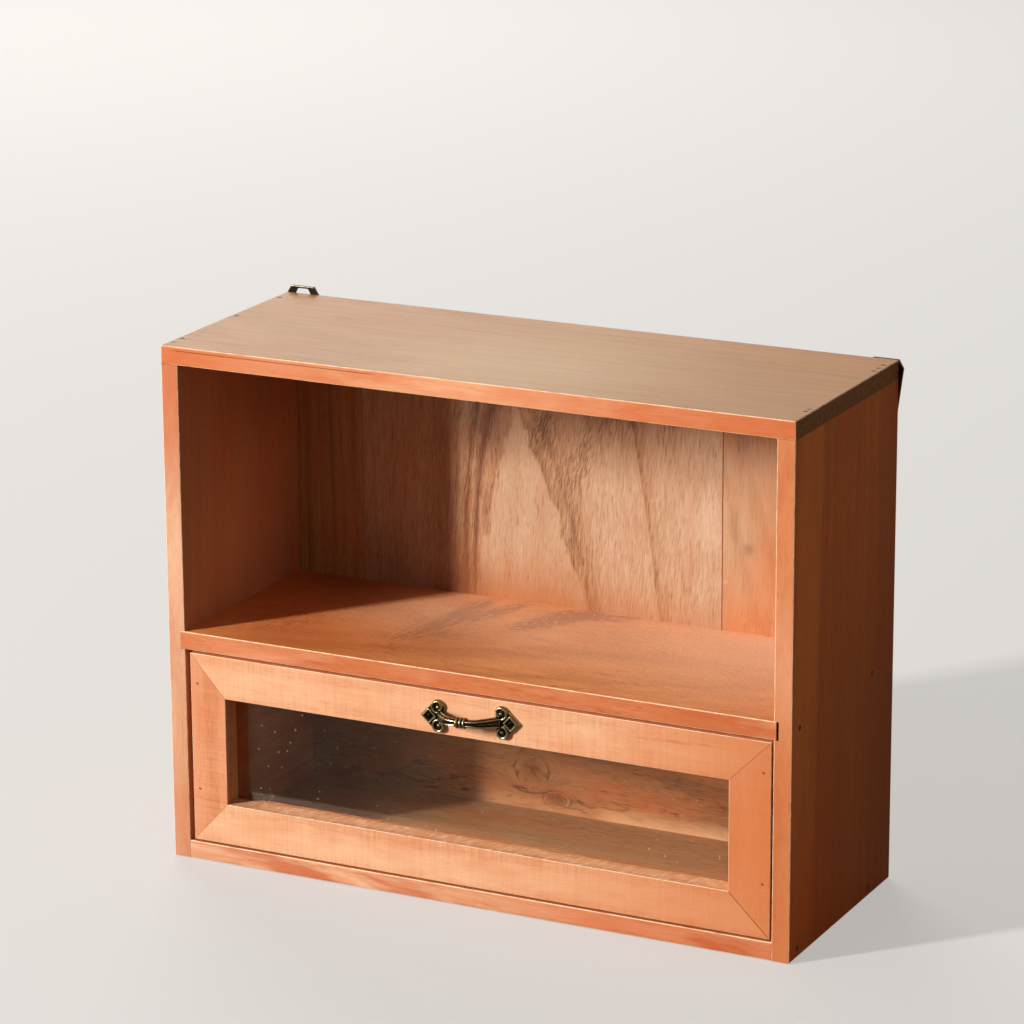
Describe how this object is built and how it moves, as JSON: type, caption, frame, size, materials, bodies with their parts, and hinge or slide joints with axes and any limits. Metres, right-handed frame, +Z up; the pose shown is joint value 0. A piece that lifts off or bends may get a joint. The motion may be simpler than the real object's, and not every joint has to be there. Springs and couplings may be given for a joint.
{
  "type": "tabletop cabinet with a glazed drawer",
  "caption": "Low wooden tabletop cabinet: an open compartment above a wide drawer with a glazed, mitred front and a cast bow pull; hanging plates on the back.",
  "frame": {"origin": "centre of the footprint, on the surface the cabinet stands on", "axes": "+Z up, +X to the right seen from the front, the front and the drawer pull face -Y"},
  "size_m": [0.4033, 0.1686, 0.3195],
  "materials": {
    "carcass_wood": "reddish brown stain, matt, worn pale at the arrises",
    "back_wood": "thin brown stain over strongly figured boards",
    "frame_wood": "light stain, fine saw marks, matt",
    "drawer_wood": "light stain, knots",
    "plywood": "unfinished brown ply",
    "window_glass": "clear float glass",
    "antique_bronze": "dark antique bronze plating, rubbed bright on high spots",
    "nail_steel": "dark steel wire nails"
  },
  "bodies": {
    "cabinet": {"top_panel": "carcass_wood", "left_side_panel": "carcass_wood", "right_side_panel": "carcass_wood", "bottom_panel": "carcass_wood", "middle_shelf": "carcass_wood", "back_board_left": "back_wood", "back_board_middle": "back_wood", "back_board_right": "back_wood", "hanging_plate_left": "antique_bronze", "hanging_plate_right": "antique_bronze", "hanging_plate_screws": "antique_bronze", "top_nails": "nail_steel", "shelf_nails": "nail_steel", "bottom_nails": "nail_steel", "back_nails": "nail_steel"},
    "drawer": {"front_top_rail": "frame_wood", "front_bottom_rail": "frame_wood", "front_left_stile": "frame_wood", "front_right_stile": "frame_wood", "glazing_bead_top": "frame_wood", "glazing_bead_bottom": "frame_wood", "glazing_bead_left": "frame_wood", "glazing_bead_right": "frame_wood", "drawer_left_side": "drawer_wood", "drawer_right_side": "drawer_wood", "drawer_back": "drawer_wood", "drawer_bottom": "plywood", "glass_pane": "window_glass", "pull_handle": "antique_bronze", "pull_handle_screws": "antique_bronze", "front_nails": "nail_steel", "drawer_box_nails": "nail_steel", "drawer_bottom_pins": "nail_steel"}
  },
  "joints": [
    {"name": "drawer_slide", "type": "slide", "parent": "cabinet", "child": "drawer", "axis": [0, -1, 0], "range_m": [0, 0.105]}
  ]
}
